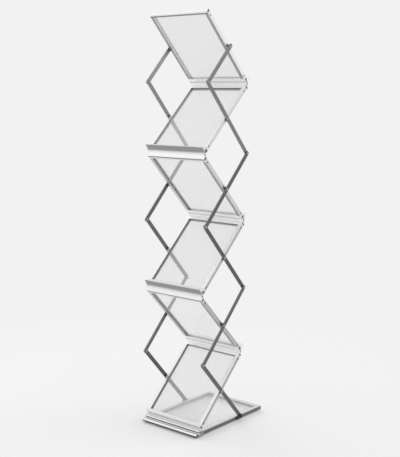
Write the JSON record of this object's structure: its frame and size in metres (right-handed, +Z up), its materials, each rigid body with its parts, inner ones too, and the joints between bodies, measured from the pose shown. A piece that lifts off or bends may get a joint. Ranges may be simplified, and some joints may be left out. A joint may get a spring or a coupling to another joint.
{
  "type": "brochure stand",
  "caption": "Folding zigzag brochure stand: clear tilted shelves in slim aluminium rails with flared ledges, tied by side arms in lazy tongs over a flat base.",
  "frame": {"origin": "on the floor under the middle of the base", "axes": "+Z up, -Y to the front where the first shelf's foot is, +X to the stand's right"},
  "size_m": [0.2746, 0.38, 1.4268],
  "materials": {
    "rail_aluminium": "satin anodised",
    "ledge_aluminium": "satin anodised",
    "base_aluminium": "satin anodised",
    "dark_arm": "dark satin anodised",
    "rivet_steel": "bright",
    "clear_sheet": "clear, slightly hazy",
    "black_plastic": "moulded",
    "foot_rubber": "matte"
  },
  "bodies": {
    "base": {"base_front_rail": "base_aluminium", "base_back_rail": "base_aluminium", "base_left_rail": "base_aluminium", "base_right_rail": "base_aluminium", "base_sheet": "clear_sheet", "base_feet": "foot_rubber"},
    "shelf_1": {"shelf_1_ledge_rail": "ledge_aluminium", "shelf_1_bottom_rail": "rail_aluminium", "shelf_1_side_rails": "rail_aluminium", "shelf_1_sheet": "clear_sheet", "shelf_1_pivots": "black_plastic"},
    "arm_1": {"arm_1_left": "dark_arm", "arm_1_right": "dark_arm", "arm_1_rivets": "rivet_steel", "foot_pins": "rivet_steel"},
    "shelf_2": {"shelf_2_ledge_rail": "ledge_aluminium", "shelf_2_bottom_rail": "rail_aluminium", "shelf_2_side_rails": "rail_aluminium", "shelf_2_sheet": "clear_sheet", "shelf_2_pivots": "black_plastic"},
    "arm_2": {"arm_2_left": "dark_arm", "arm_2_right": "dark_arm", "arm_2_rivets": "rivet_steel"},
    "shelf_3": {"shelf_3_ledge_rail": "ledge_aluminium", "shelf_3_bottom_rail": "rail_aluminium", "shelf_3_side_rails": "rail_aluminium", "shelf_3_sheet": "clear_sheet", "shelf_3_pivots": "black_plastic"},
    "arm_3": {"arm_3_left": "dark_arm", "arm_3_right": "dark_arm", "arm_3_rivets": "rivet_steel"},
    "shelf_4": {"shelf_4_ledge_rail": "ledge_aluminium", "shelf_4_bottom_rail": "rail_aluminium", "shelf_4_side_rails": "rail_aluminium", "shelf_4_sheet": "clear_sheet", "shelf_4_pivots": "black_plastic"},
    "arm_4": {"arm_4_left": "dark_arm", "arm_4_right": "dark_arm", "arm_4_rivets": "rivet_steel"},
    "shelf_5": {"shelf_5_ledge_rail": "ledge_aluminium", "shelf_5_bottom_rail": "rail_aluminium", "shelf_5_side_rails": "rail_aluminium", "shelf_5_sheet": "clear_sheet", "shelf_5_pivots": "black_plastic"},
    "arm_5": {"arm_5_left": "dark_arm", "arm_5_right": "dark_arm", "arm_5_rivets": "rivet_steel"},
    "shelf_6": {"shelf_6_top_rail": "ledge_aluminium", "shelf_6_bottom_rail": "rail_aluminium", "shelf_6_side_rails": "rail_aluminium", "shelf_6_sheet": "clear_sheet", "shelf_6_pivots": "black_plastic"},
    "arm_6": {"arm_6_left": "dark_arm", "arm_6_right": "dark_arm"},
    "foot_shoes": {"foot_shoe_left": "black_plastic", "foot_shoe_right": "black_plastic"},
    "lock_knob_left": {"lock_knob_left": "black_plastic"},
    "lock_knob_right": {"lock_knob_right": "black_plastic"}
  },
  "joints": [
    {"name": "fold", "type": "hinge", "parent": "base", "child": "shelf_1", "pos_m": [0, -0.169, 0.0198], "axis": [-1, 0, 0], "range_deg": [0, 44]},
    {"name": "shelf_2_hinge", "type": "hinge", "parent": "shelf_1", "child": "shelf_2", "pos_m": [0, 0.05226, 0.25523], "axis": [1, 0, 0], "range_deg": [0, 88]},
    {"name": "shelf_3_hinge", "type": "hinge", "parent": "shelf_2", "child": "shelf_3", "pos_m": [0, -0.169, 0.49065], "axis": [-1, 0, 0], "range_deg": [0, 88]},
    {"name": "shelf_4_hinge", "type": "hinge", "parent": "shelf_3", "child": "shelf_4", "pos_m": [0, 0.05226, 0.72608], "axis": [1, 0, 0], "range_deg": [0, 88]},
    {"name": "shelf_5_hinge", "type": "hinge", "parent": "shelf_4", "child": "shelf_5", "pos_m": [0, -0.169, 0.9615], "axis": [-1, 0, 0], "range_deg": [0, 88]},
    {"name": "shelf_6_hinge", "type": "hinge", "parent": "shelf_5", "child": "shelf_6", "pos_m": [0, 0.05226, 1.19693], "axis": [1, 0, 0], "range_deg": [0, 88]},
    {"name": "arm_1_pivot", "type": "hinge", "parent": "shelf_1", "child": "arm_1", "pos_m": [0, -0.05837, 0.13751], "axis": [1, 0, 0], "range_deg": [0, 88]},
    {"name": "arm_2_pivot", "type": "hinge", "parent": "shelf_2", "child": "arm_2", "pos_m": [0, -0.05837, 0.37294], "axis": [-1, 0, 0], "range_deg": [0, 88]},
    {"name": "arm_3_pivot", "type": "hinge", "parent": "shelf_3", "child": "arm_3", "pos_m": [0, -0.05837, 0.60836], "axis": [1, 0, 0], "range_deg": [0, 88]},
    {"name": "arm_4_pivot", "type": "hinge", "parent": "shelf_4", "child": "arm_4", "pos_m": [0, -0.05837, 0.84379], "axis": [-1, 0, 0], "range_deg": [0, 88]},
    {"name": "arm_5_pivot", "type": "hinge", "parent": "shelf_5", "child": "arm_5", "pos_m": [0, -0.05837, 1.07921], "axis": [1, 0, 0], "range_deg": [0, 88]},
    {"name": "arm_6_pivot", "type": "hinge", "parent": "shelf_6", "child": "arm_6", "pos_m": [0, -0.05837, 1.31464], "axis": [-1, 0, 0], "range_deg": [0, 88]},
    {"name": "foot_shoe_hinge", "type": "hinge", "parent": "arm_1", "child": "foot_shoes", "pos_m": [0, 0.05226, 0.0198], "axis": [-1, 0, 0], "range_deg": [0, 44]},
    {"name": "lock_knob_left_turn", "type": "hinge", "parent": "arm_1", "child": "lock_knob_left", "pos_m": [-0.1338, 0.05226, 0.0198], "axis": [-1, 0, 0], "range_deg": [0, 180]},
    {"name": "lock_knob_right_turn", "type": "hinge", "parent": "arm_1", "child": "lock_knob_right", "pos_m": [0.1338, 0.05226, 0.0198], "axis": [1, 0, 0], "range_deg": [0, 180]}
  ],
  "couplings": [
    {"joint": "shelf_2_hinge", "follows": "fold", "ratio": 2},
    {"joint": "shelf_3_hinge", "follows": "fold", "ratio": 2},
    {"joint": "shelf_4_hinge", "follows": "fold", "ratio": 2},
    {"joint": "shelf_5_hinge", "follows": "fold", "ratio": 2},
    {"joint": "shelf_6_hinge", "follows": "fold", "ratio": 2},
    {"joint": "arm_1_pivot", "follows": "fold", "ratio": 2},
    {"joint": "arm_2_pivot", "follows": "fold", "ratio": 2},
    {"joint": "arm_3_pivot", "follows": "fold", "ratio": 2},
    {"joint": "arm_4_pivot", "follows": "fold", "ratio": 2},
    {"joint": "arm_5_pivot", "follows": "fold", "ratio": 2},
    {"joint": "arm_6_pivot", "follows": "fold", "ratio": 2},
    {"joint": "foot_shoe_hinge", "follows": "fold", "ratio": 1}
  ]
}
